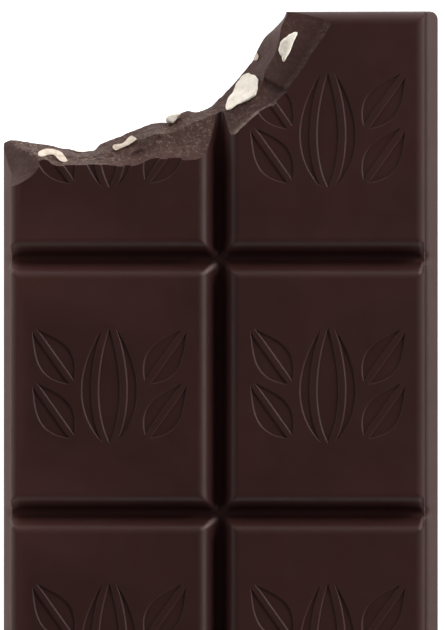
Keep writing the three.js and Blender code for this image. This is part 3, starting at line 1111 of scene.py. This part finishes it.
    def mark_looks(self, piece: bpy.types.Object, crags: Crags) -> None:
        """Writes how crushed the break is, where its rim is painted darker as shade, and how far its
        rim is frayed and painted as a highlight, into attributes of the points.

        Each point takes the shares of the nearest place on the break, and points away from the
        break are left at 0.

        Args:
            piece: the finished piece.
            crags: the break's relief.
        """
        patch = self.grid(self.looks_grid)
        places = self.craggy(patch, crags, 0.0).reshape(-1, 3)
        tree = KDTree(len(places))
        for i, place in enumerate(places):
            tree.insert(place, i)
        tree.balance()
        points = points_of(piece.data)
        near = np.flatnonzero(points[:, 1] > places[:, 1].min() - self.looks_reach)
        found = [tree.find(points[i]) for i in near]
        index = np.array([place for _, place, _ in found])
        close = np.array([gap for _, _, gap in found]) < self.looks_reach
        looks = {CRUSH: crags.crush(patch), PAINTED_RIM_SHADE: self.painted_rim_shade(patch), BURR_AND_HIGHLIGHT: self.burr_and_highlight(patch)}
        for name, shares in looks.items():
            values = np.zeros(len(points))
            values[near] = np.where(close, shares.reshape(-1)[index], 0)
            mark(piece.data, name, values)


# ---- The pieces of nut ----


@dataclass(frozen=True)
class NutPiece:
    """A piece of nut cut through by the bite. Sizes are in millimetres.

    Its outline, seen from above, is a smooth closed curve through control points, which are given
    anticlockwise from its place on the bar.
    """

    node: str
    at: tuple[float, float]
    low: float
    high: float
    proud: float
    outline: tuple[tuple[float, float], ...]
    knobs: float = 0.03
    waves: tuple[tuple[float, ...], ...] = ((3, 1, 1, 1), (7, 0.7, 2.3, 0), (13, 0.5, 4.1, -2))
    bluntness: float = 4.0
    steps: int = 96
    levels: int = 26
    curve_steps: int = 40
    seed: float = 0.0
    # Painted shade: whether the piece wears the darker copy of the nut flesh
    painted_shade: bool = False

    def plan(self, grow: float) -> np.ndarray:
        """The outline as evenly spaced points, moved out square to itself.

        Args:
            grow: how far out.

        Returns:
            Points (x, y) round the piece's place, shaped (steps, 2).
        """
        corners = np.array(self.outline)
        at = np.linspace(0, len(corners), self.curve_steps * len(corners) + 1)
        curve = smooth_through(corners, at, closed=True)
        length = np.concatenate([[0], np.cumsum(np.linalg.norm(np.diff(curve, axis=0), axis=1))])
        at = length[-1] * np.arange(self.steps) / self.steps
        even = np.stack([np.interp(at, length, axis) for axis in curve.T], axis=-1)
        along = np.roll(even, -1, axis=0) - np.roll(even, 1, axis=0)
        along /= np.linalg.norm(along, axis=1, keepdims=True)
        return even + grow * along @ np.array([[0, -1], [1, 0]])

    def lump(self, grow: float = 0.0) -> Shell:
        """The whole piece before the bite.

        Rings climb on a superellipse, so the piece is blunt at its top and bottom. Each ring's size
        varies a little in waves: (count round it, height, shift with the seed and with the level).

        Args:
            grow: how far the surface lies outside the piece's own.

        Returns:
            The closed shell.
        """
        rise = -np.cos(np.linspace(0, math.pi, self.levels))[1:-1, None]
        angle = np.linspace(0, 2 * math.pi, self.steps, endpoint=False)[None, :]
        wobble = sum(
            height * np.sin(count * angle + seeded * self.seed + climbing * rise)
            for count, height, seeded, climbing in self.waves
        )
        blunt = (1 - np.abs(rise) ** self.bluntness) ** (1 / self.bluntness)
        scale = blunt * (1 + self.knobs * wobble)
        plan = scale[..., None] * self.plan(grow)[None] + np.array(self.at)
        level = (self.low + self.high) / 2 + rise * ((self.high - self.low) / 2 + grow)
        level = np.broadcast_to(level, scale.shape)[..., None]
        return ring_shell(np.concatenate([plan, level], axis=-1))


NUT_PIECES = (
    NutPiece(
        "nut_chunk", (3.4, 60.8), low=0.5, high=5.0, proud=0.3, seed=1.0,
        outline=((0, 2.8), (-0.95, 1.7), (-1.55, 0.1), (-2.4, -1.5), (-2.2, -2.75), (-0.7, -2.15),
                 (1.7, -1.0), (2.3, 0.6), (1.9, 2.15)),
    ),
    NutPiece(
        "nut_leaf", (10.0, 67.0), low=2.6, high=5.7, proud=0.4, seed=2.0,
        outline=((1.0, 2.35), (-0.7, 1.25), (-1.35, -0.2), (-1.1, -1.3), (-0.7, -2.3),
                 (-0.2, -1.65), (0.55, -0.45), (0.95, 0.75), (1.5, 2.1)),
    ),
    NutPiece(
        "nut_crescent", (-24.2, 52.0), low=1.4, high=5.2, proud=0.12, seed=3.0, painted_shade=True,
        outline=((0, 0.6), (-1.3, 0.5), (-2.05, -0.4), (-1.6, -0.85), (-0.8, -0.5), (0.2, -0.45),
                 (1.2, -1.3), (2.2, -1.8), (2.3, -1.3), (1.4, -0.15)),
    ),
    NutPiece(
        "nut_slice", (-13.7, 53.2), low=0.8, high=4.4, proud=0.25, seed=4.0, painted_shade=True,
        outline=((-0.3, 0.1), (-1.7, -0.2), (-1.35, -1.0), (-0.5, -0.65), (0.6, -0.15),
                 (1.7, 0.65), (0.75, 1.15)),
    ),
    NutPiece(
        "nut_edge", (-7.15, 56.85), low=0.3, high=2.0, proud=2.0, seed=5.0,
        outline=((-0.25, 0.5), (-0.75, 0), (-0.55, -0.5), (0.25, -0.7), (0.8, -0.05), (1.45, 0.8),
                 (0.6, 0.72)),
    ),
    NutPiece(
        "nut_sliver", (-19.8, 52.55), low=0.2, high=1.4, proud=0.15, seed=6.0,
        outline=((-0.4, 0.5), (-1.8, 0.1), (-1.1, -0.4), (0.2, -0.45), (1.6, 0), (1.9, 0.6),
                 (1.1, 0.55)),
    ),
    NutPiece(
        "nut_crumb", (5.15, 65.75), low=0.1, high=2.4, proud=0.1, seed=7.0, painted_shade=True,
        outline=((0.15, 0.6), (-0.3, 0.2), (-0.4, -0.35), (0.15, -0.5), (0.4, 0.1)),
    ),
)


# ---- Finishes ----


@dataclass(frozen=True)
class Noise:
    """Noise on object coordinates, whose features are about size millimetres."""

    size: float
    detail: float = 2.0
    roughness: float = 0.5


@dataclass(frozen=True)
class Bump:
    """A bump that follows a noise: its height in millimetres, and how strongly it shows."""

    noise: Noise
    height: float
    strength: float


class Graph:
    """A small helper that builds one material's node tree."""

    def __init__(self, name: str, **surface: object) -> None:
        """Makes a material with a Principled surface.

        Args:
            name: the material's name.
            surface: values of the surface's sockets, named as in node.
        """
        self.material = bpy.data.materials.new(name)
        self.material.use_nodes = True
        self.tree = self.material.node_tree
        self.tree.nodes.clear()
        self.surface = self.node("ShaderNodeBsdfPrincipled", **surface)
        self.link(self.surface, "BSDF", self.node("ShaderNodeOutputMaterial"), "Surface")
        self.place = self.node("ShaderNodeTexCoord")
        self.textures: dict[Noise, bpy.types.Node] = {}

    def node(self, kind: str, **values: object) -> bpy.types.Node:
        """Adds a node, with settings by attribute name and socket values by capitalised name."""
        node = self.tree.nodes.new(kind)
        for name, value in values.items():
            if hasattr(node, name):
                setattr(node, name, value)
            else:
                node.inputs[name.replace("_", " ")].default_value = value
        return node

    def link(self, source: bpy.types.Node, output: str, target: bpy.types.Node, name: str) -> None:
        """Joins an output socket to an input socket, both by name."""
        self.tree.links.new(source.outputs[output], target.inputs[name])

    def read(self, noise: Noise, target: bpy.types.Node, name: str) -> None:
        """Joins a noise to an input socket, through the one texture that the material has of it."""
        if noise not in self.textures:
            texture = self.node(
                "ShaderNodeTexNoise",
                Scale=1 / (noise.size * MM), Detail=noise.detail, Roughness=noise.roughness,
            )
            self.link(self.place, "Object", texture, "Vector")
            self.textures[noise] = texture
        self.link(self.textures[noise], "Fac", target, name)

    def ramp(
        self, noise: Noise, places: tuple[float, ...], *colours: Colour
    ) -> bpy.types.Node:
        """Returns a colour ramp over a noise, with a stop for each place and its colour."""
        ramp = self.node("ShaderNodeValToRGB")
        elements = ramp.color_ramp.elements
        while len(elements) < len(colours):
            elements.new(0.5)
        while len(elements) > len(colours):
            elements.remove(elements[-1])
        for element, place, colour in zip(elements, places, colours):
            element.position = place
            element.color = (*colour, 1.0)
        self.read(noise, ramp, "Fac")
        return ramp

    def blend(self, *layers: tuple[str, bpy.types.Node]) -> None:
        """Colours the surface with layers of ramps.

        Args:
            layers: pairs of an attribute of the mesh's points, which says how far the layer covers
                the ones before it, and the layer's ramp. The first layer covers all.
        """
        colour = layers[0][1].outputs["Color"]
        for share, ramp in layers[1:]:
            blend = self.node("ShaderNodeMix", data_type="RGBA")
            factor = self.node("ShaderNodeAttribute", attribute_name=share)
            self.link(factor, "Fac", blend, "Factor")
            first, second = [socket for socket in blend.inputs if socket.type == "RGBA"]
            self.tree.links.new(colour, first)
            self.tree.links.new(ramp.outputs["Color"], second)
            colour = next(socket for socket in blend.outputs if socket.type == "RGBA")
        self.tree.links.new(colour, self.surface.inputs["Base Color"])

    def bump(self, *layers: Bump) -> None:
        """Stacks bumps on the surface."""
        previous = None
        for layer in layers:
            bump = self.node("ShaderNodeBump", Distance=layer.height * MM, Strength=layer.strength)
            self.read(layer.noise, bump, "Height")
            if previous is not None:
                self.link(previous, "Normal", bump, "Normal")
            previous = bump
        self.link(previous, "Normal", self.surface, "Normal")


@dataclass(frozen=True)
class MouldedChocolate:
    """Tempered chocolate that took its satin gloss from the mould, and is duller on its walls, whose
    darker colour is painted shade.
    """

    name: str = "moulded_chocolate"
    dark: Colour = (0.0330, 0.0108, 0.0092)
    light: Colour = (0.0400, 0.0132, 0.0114)
    # Painted light: the pale colour painted along the slab edge
    painted_edge_colour: Colour = (0.1150, 0.0450, 0.0360)
    # Painted highlight: the pale colour of the groove corners
    highlight_colour: Colour = (0.1250, 0.0840, 0.0790)
    roughness: tuple[float, float] = (0.48, 0.56)
    gloss: float = 0.26
    clouds: Noise = Noise(11.0, 3.0, 0.55)
    cloud_stops: tuple[float, float] = (0.32, 0.68)
    smears: Noise = Noise(3.2, 4.0, 0.6)
    smear_stops: tuple[float, float] = (0.3, 0.7)
    ripple: Bump = Bump(Noise(5.0, 1.0), 0.12, 0.35)
    grain: Bump = Bump(Noise(0.28, 3.0, 0.6), 0.02, 0.25)

    @classmethod
    def wall(cls) -> MouldedChocolate:
        """Returns the duller finish of the upright walls, darker in colour as painted shade in the
        crease at their foot.
        """
        # Painted shade: the walls are coloured darker than the top faces
        dark, light = (0.0240, 0.0108, 0.0096), (0.0290, 0.0132, 0.0117)
        return cls("moulded_wall_painted_shade", dark, light, roughness=(0.85, 0.95), gloss=0.1)

    def make(self) -> bpy.types.Material:
        """Returns the material: clouded colour with painted light on the slab edge and painted
        highlights at the grooves, uneven gloss and a faint ripple.
        """
        graph = Graph(self.name, Specular_IOR_Level=self.gloss)
        plain = graph.ramp(self.clouds, self.cloud_stops, self.dark, self.light)
        # Painted light along the slab edge
        edge_light_ramp = graph.ramp(self.clouds, (0.0,), self.painted_edge_colour)
        # Painted highlights at the groove corners
        painted_highlights = graph.ramp(self.clouds, (0.0,), self.highlight_colour)
        graph.blend(("", plain), (PAINTED_EDGE_LIGHT, edge_light_ramp), (PAINTED_HIGHLIGHT, painted_highlights))
        low, high = ((value,) * 3 for value in self.roughness)
        gloss = graph.ramp(self.smears, self.smear_stops, low, high)
        graph.link(gloss, "Color", graph.surface, "Roughness")
        graph.bump(self.ripple, self.grain)
        return graph.material


@dataclass(frozen=True)
class BrokenChocolate:
    """Chocolate where it was bitten: matt, pale with scattered crystal grains, painted darker as
    shade near its rim at the bar's end, and with a pale rim that is crushed grain and a painted
    highlight.
    """

    name: str = "broken_chocolate"
    clean_dark: Colour = (0.066, 0.0275, 0.0232)
    clean_light: Colour = (0.086, 0.0390, 0.0315)
    dark: Colour = (0.050, 0.0245, 0.0192)
    middle: Colour = (0.090, 0.050, 0.0392)
    fleck: Colour = (0.290, 0.215, 0.182)
    # Painted shade near the rim at the bar's end
    rim_shade_dark: Colour = (0.0390, 0.0150, 0.0130)
    rim_shade_light: Colour = (0.0490, 0.0195, 0.0172)
    roughness: float = 0.62
    gloss: float = 0.2
    clouds: Noise = Noise(1.1, 5.0, 0.7)
    cloud_stops: tuple[float, float] = (0.35, 0.68)
    grains: Noise = Noise(0.55, 6.0, 0.85)
    grain_stops: tuple[float, float, float] = (0.42, 0.54, 0.63)
    fray_and_highlight_stops: tuple[float, float] = (0.42, 0.56)
    crumbs: Bump = Bump(Noise(0.55, 5.0, 0.65), 0.22, 0.5)
    grit: Bump = Bump(grains, 0.08, 0.5)

    def make(self) -> bpy.types.Material:
        """Returns the material: plain where it broke cleanly, grainy where it was crushed, with
        painted shade near the rim and a pale rim that is partly a painted highlight.
        """
        graph = Graph(self.name, Roughness=self.roughness, Specular_IOR_Level=self.gloss)
        clean = graph.ramp(self.clouds, self.cloud_stops, self.clean_dark, self.clean_light)
        grainy = graph.ramp(self.grains, self.grain_stops, self.dark, self.middle, self.fleck)
        # Painted shade near the rim
        rim_shaded = graph.ramp(self.clouds, self.cloud_stops, self.rim_shade_dark, self.rim_shade_light)
        # Crushed grain and a painted highlight along the rim
        frayed_and_lit = graph.ramp(self.grains, self.fray_and_highlight_stops, self.middle, self.fleck)
        graph.blend(("", clean), (CRUSH, grainy), (PAINTED_RIM_SHADE, rim_shaded), (BURR_AND_HIGHLIGHT, frayed_and_lit))
        graph.bump(self.crumbs, self.grit)
        return graph.material


@dataclass(frozen=True)
class ScrapedChocolate:
    """The underside, which set in the open: duller, with long drag marks and fine grain."""

    name: str = "scraped_chocolate"
    dark: Colour = (0.0185, 0.0080, 0.0068)
    light: Colour = (0.0300, 0.0140, 0.0120)
    roughness: float = 0.55
    clouds: Noise = Noise(8.0, 5.0, 0.6)
    cloud_stops: tuple[float, float] = (0.3, 0.72)
    drag: Bump = Bump(Noise(1.6, 3.0, 0.6), 0.15, 0.35)
    grain: Bump = Bump(Noise(0.3, 3.0, 0.6), 0.03, 0.4)

    def make(self) -> bpy.types.Material:
        """Returns the material: broad clouds, drag marks and grain."""
        graph = Graph(self.name, Roughness=self.roughness)
        graph.blend(("", graph.ramp(self.clouds, self.cloud_stops, self.dark, self.light)))
        graph.bump(self.drag, self.grain)
        return graph.material


@dataclass(frozen=True)
class NutFlesh:
    """Bitten nut, waxy, with darker patches and small pits."""

    name: str
    pale: Colour
    tan: Colour
    skin: Colour
    roughness: float = 0.55
    patches: Noise = Noise(0.9, 5.0, 0.65)
    patch_stops: tuple[float, float, float] = (0.28, 0.42, 0.56)
    pits: Bump = Bump(patches, 0.15, 0.5)
    grain: Bump = Bump(Noise(0.22, 4.0, 0.65), 0.06, 0.5)

    def make(self) -> bpy.types.Material:
        """Returns the material: patches, pits and a fine waxy bump."""
        graph = Graph(self.name, Roughness=self.roughness)
        colour = graph.ramp(self.patches, self.patch_stops, self.skin, self.tan, self.pale)
        graph.blend(("", colour))
        graph.bump(self.pits, self.grain)
        return graph.material


class Flesh(Enum):
    """The two sorts of nut flesh: pale right through, and a darker copy that is painted shade for
    the pieces that catch more light.
    """

    PALE = NutFlesh("pale_nut", (0.98, 0.90, 0.79), (0.97, 0.87, 0.74), (0.80, 0.66, 0.52))
    # Painted shade: a darker copy of the same flesh
    SHADED = NutFlesh("shaded_nut", (0.69, 0.58, 0.48), (0.61, 0.49, 0.39), (0.44, 0.32, 0.23))


# ---- Sub-assemblies ----


@dataclass
class ChocolateBody:
    """All of the chocolate, in one piece."""

    mould: Mould
    motif: PodMotif
    bite: Bite
    crags: Crags = Crags(
        sizes=(1.9, 0.85, 0.4, 0.2),
        heights=(0.16, 0.1, 0.06, 0.035),
        lower=((2.8, 0.12), (3.2, 0.9), (6, 0.7), (9, 0.6), (14, 0.6), (15, 0.4), (17, 0.12)),
        upper=((2.8, 0.08), (3.2, 1.0), (5, 0.9), (7.8, 0.8), (8.6, 0.5), (9.5, 0.3),
               (9.9, 0.65), (13, 0.6), (15, 0.5), (17, 0.12)),
    )
    strips: Fineness = Fineness(14, 16, 26)
    nut_overlap: float = 0.06
    crease: float = 38.0
    upright: float = 86.0
    piece: bpy.types.Object | None = field(default=None, init=False)

    def build(self, nuts: tuple[NutPiece, ...]) -> bpy.types.Object:
        """Carves the bar out of its slab.

        Args:
            nuts: the pieces of nut, which get a close bed each.

        Returns:
            The piece.
        """
        mould = self.mould
        carver = Carver("dark_chocolate_bar", mould.slab(), len(Skin), Skin.MOULDED)
        carver.carve("INTERSECT", mould.outline(), Skin.MOULDED)
        carver.carve("INTERSECT", mould.bed(), Skin.UNDERSIDE)
        stamp = self.motif.stamps(mould.thickness)
        stamps = [stamp.moved(x, y) for x, y in mould.square_middles]
        carver.carve("DIFFERENCE", joined(stamps), Skin.MOULDED)
        carver.carve("DIFFERENCE", self.bite.tool(self.crags, 0.0, self.strips), Skin.BROKEN)
        for nut in nuts:
            carver.carve("DIFFERENCE", nut.lump(-self.nut_overlap), Skin.BROKEN)
        self.piece = carver.piece
        finished_normals(self.piece, self.crease)
        self.bite.mark_looks(self.piece, self.crags)
        points = points_of(self.piece.data)
        # Painted light along the slab edge, and painted highlights at the corners and ends of the
        # grooves
        mark(self.piece.data, PAINTED_EDGE_LIGHT, mould.painted_edge_light(points))
        mark(self.piece.data, PAINTED_HIGHLIGHT, mould.painted_highlight(points))
        self._find_walls()
        return self.piece

    def _find_walls(self) -> None:
        """Gives the moulded walls that stand upright their own skin."""
        faces = self.piece.data.polygons
        skins = read(faces, "material_index", np.int32)
        upright = np.abs(read_vectors(faces, "normal")[:, 2]) < math.cos(math.radians(self.upright))
        skins[(skins == Skin.MOULDED) & upright] = Skin.WALL
        faces.foreach_set("material_index", skins)

    def dress(self) -> None:
        """Gives the faces their finishes and places the piece in the frame."""
        for skin, finish in (
            (Skin.MOULDED, MouldedChocolate()),
            (Skin.BROKEN, BrokenChocolate()),
            (Skin.UNDERSIDE, ScrapedChocolate()),
            (Skin.WALL, MouldedChocolate.wall()),
        ):
            self.piece.data.materials[skin] = finish.make()
        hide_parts("chocolate")
        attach(self.piece, "root")


@dataclass
class NutPieces:
    """The pieces of nut that show in the break."""

    bite: Bite
    nuts: tuple[NutPiece, ...] = NUT_PIECES
    crags: Crags = Crags((1.1, 0.45, 0.2), (0.14, 0.06, 0.03), seed=8.2)
    strips: Fineness = Fineness(14, 14, 20)
    crease: float = 40.0

    def build(self) -> list[bpy.types.Object]:
        """Bites through each lump and dresses what is left.

        Returns:
            The pieces.
        """
        finishes = {flesh: flesh.value.make() for flesh in Flesh}
        pieces = []
        for nut in self.nuts:
            carver = Carver(f"{nut.node}_piece", nut.lump())
            carver.carve("DIFFERENCE", self.bite.tool(self.crags, nut.proud, self.strips))
            piece = carver.piece
            finished_normals(piece, self.crease)
            # The darker flesh is painted shade
            piece.data.materials[0] = finishes[Flesh.SHADED if nut.painted_shade else Flesh.PALE]
            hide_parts(nut.node)
            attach(piece, "root")
            pieces.append(piece)
        return pieces


# ---- Studio ----


@dataclass(frozen=True)
class Softbox:
    """A rectangular soft light aimed at the bar."""

    name: str
    bearing: float
    elevation: float
    width: float
    height: float
    radiance: float
    distance: float = 1.1
    colour: Colour = (1.0, 1.0, 1.0)

    def light(self, target: Vector) -> None:
        """Adds the light, turned towards the target.

        Its power is pi times its area times its radiance, which is how bright it looks from the
        front, where the lit floor is about 1.

        Args:
            target: where it is aimed, in metres.
        """
        lamp = bpy.data.lights.new(self.name, "AREA")
        lamp.shape = "RECTANGLE"
        lamp.size, lamp.size_y = self.width, self.height
        lamp.energy = math.pi * self.width * self.height * self.radiance
        lamp.color = self.colour
        bearing, elevation = math.radians(self.bearing), math.radians(self.elevation)
        level = math.cos(elevation)
        x, y = math.cos(bearing) * level, math.sin(bearing) * level
        towards = Vector((x, y, math.sin(elevation)))
        thing = placed(self.name, lamp)
        thing.location = target + towards * self.distance
        thing.rotation_euler = towards.to_track_quat("Z", "Y").to_euler()


@dataclass(frozen=True)
class Studio:
    """A pale floor, soft light from the upper right, and a camera that looks straight down."""

    floor_half: float = 6.0
    floor_colour: Colour = (0.8, 0.8, 0.8)
    floor_roughness: float = 0.9
    floor_glow: float = 1.04
    sky: Colour = (1.0, 1.0, 1.0)
    sky_strength: float = 0.005
    view_centre: tuple[float, float] = (0.29, 28.4)
    view_height: float = 91.35
    camera_side: float = 41.6
    camera_height: float = 850.0
    sensor: float = 36.0
    clip: tuple[float, float] = (0.01, 30.0)
    boxes: tuple[Softbox, ...] = (
        Softbox("key_light", 12.0, 18.0, 0.97, 0.48, 6.1, distance=1.0),
        Softbox("main_light", 39.0, 28.0, 0.18, 0.18, 11.6, distance=0.55),
        Softbox("end_light", 95.0, 18.0, 0.4, 0.2, 2.1, distance=0.41),
        Softbox("far_light", 135.0, 25.0, 0.6, 0.4, 1.8),
        Softbox("left_light", 180.0, 17.0, 1.0, 0.6, 1.8),
        Softbox("near_light", 270.0, 17.0, 1.0, 0.6, 2.0),
        Softbox("right_fill", 0.0, 42.0, 1.0, 0.5, 0.52),
    )

    def build(self) -> None:
        """Adds the floor, the lights, the sky and the camera."""
        half = self.floor_half
        corners = [(-half, -half, 0), (half, -half, 0), (half, half, 0), (-half, half, 0)]
        mesh = bpy.data.meshes.new("pale_floor")
        mesh.from_pydata(corners, [], [[0, 1, 2, 3]])
        floor = placed("pale_floor", mesh)
        graph = Graph(
            "pale_floor", Base_Color=(*self.floor_colour, 1.0), Roughness=self.floor_roughness,
            Emission_Color=(1.0, 1.0, 1.0, 1.0), Emission_Strength=self.floor_glow,
        )
        mesh.materials.append(graph.material)
        floor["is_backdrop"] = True
        world = bpy.data.worlds.new("studio")
        world.use_nodes = True
        background = world.node_tree.nodes["Background"]
        background.inputs["Color"].default_value = (*self.sky, 1.0)
        background.inputs["Strength"].default_value = self.sky_strength
        bpy.context.scene.world = world
        target = Vector((self.view_centre[0] * MM, self.view_centre[1] * MM, 0))
        for box in self.boxes:
            box.light(target)
        self._camera(target)
        bpy.context.scene.view_settings.view_transform = "Standard"

    def _camera(self, target: Vector) -> None:
        """Adds the camera, a long lens a little to the right of the bar."""
        lens = bpy.data.cameras.new("studio_camera")
        place = target + Vector((self.camera_side, 0, self.camera_height)) * MM
        distance = (place - target).length
        lens.sensor_width = self.sensor
        lens.lens = self.sensor * distance / (self.view_height * MM)
        lens.clip_start, lens.clip_end = self.clip
        back = (place - target).normalized()
        right = Vector((0, 1, 0)).cross(back).normalized()
        axes = Matrix((right, back.cross(right), back)).transposed()
        camera = placed("studio_camera", lens)
        camera.location = place
        camera.rotation_euler = axes.to_euler()
        bpy.context.scene.camera = camera


def main() -> None:
    """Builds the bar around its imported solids, and the studio."""
    logging.basicConfig(level=logging.INFO, format="%(name)s: %(message)s")
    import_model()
    cad_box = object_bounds()
    low, high = (np.array(corner) / MM for corner in cad_box)
    width, length, thickness = (float(side) for side in high - low)
    bite = Bite(thickness, length)
    Studio().build()
    body = ChocolateBody(Mould(width, length, thickness), PodMotif(), bite)
    bar = body.build(NUT_PIECES)
    body.dress()
    LOG.info("%s: %d faces", bar.name, len(bar.data.polygons))
    for piece in NutPieces(bite).build():
        LOG.info("%s: %d faces", piece.name, len(piece.data.polygons))


if __name__ == "__main__":
    main()
